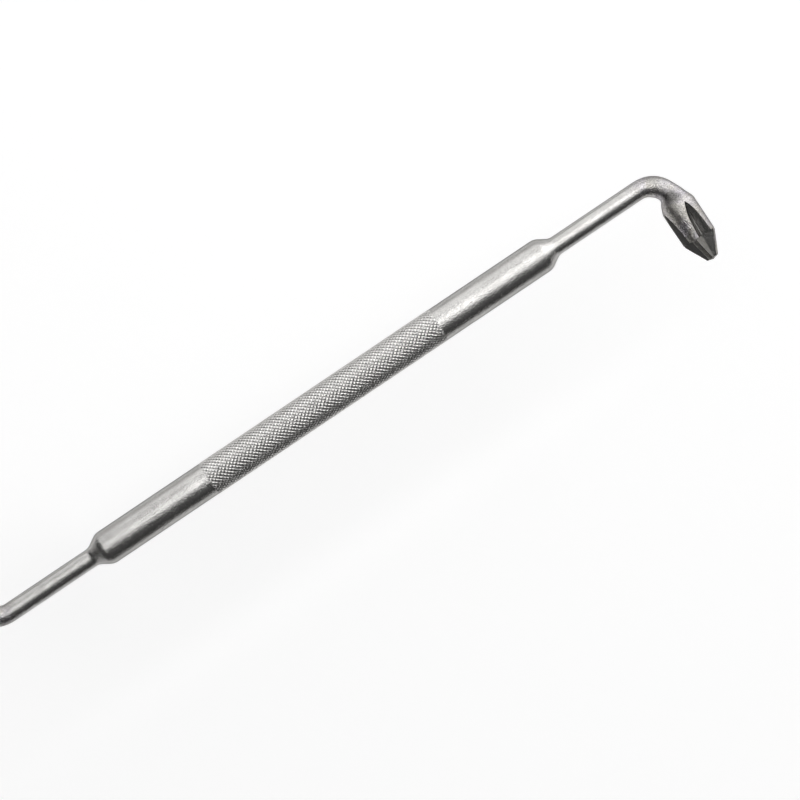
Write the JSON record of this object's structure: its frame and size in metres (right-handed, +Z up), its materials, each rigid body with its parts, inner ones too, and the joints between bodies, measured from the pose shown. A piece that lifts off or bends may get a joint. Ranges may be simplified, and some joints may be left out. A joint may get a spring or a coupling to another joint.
{
  "type": "offset screwdriver",
  "caption": "Double-ended offset screwdriver: a diamond-knurled round steel grip between smooth collars and slim necks, a Phillips tip bent one way and a slotted tip the other.",
  "frame": {"origin": "middle of the knurled grip, on the axis of the handle", "axes": "+X along the handle towards the Phillips end, +Z up with the tool lying flat; the Phillips leg points to -Y and the slotted leg to +Y"},
  "size_m": [0.1404, 0.033, 0.0062],
  "materials": {
    "knurled_steel": "satin nickel plate over a diamond knurl",
    "satin_steel": "fine blasted satin nickel plate"
  },
  "bodies": {
    "root": {"knurled_grip": "knurled_steel", "phillips_shank": "satin_steel", "slotted_shank": "satin_steel"}
  },
  "joints": []
}
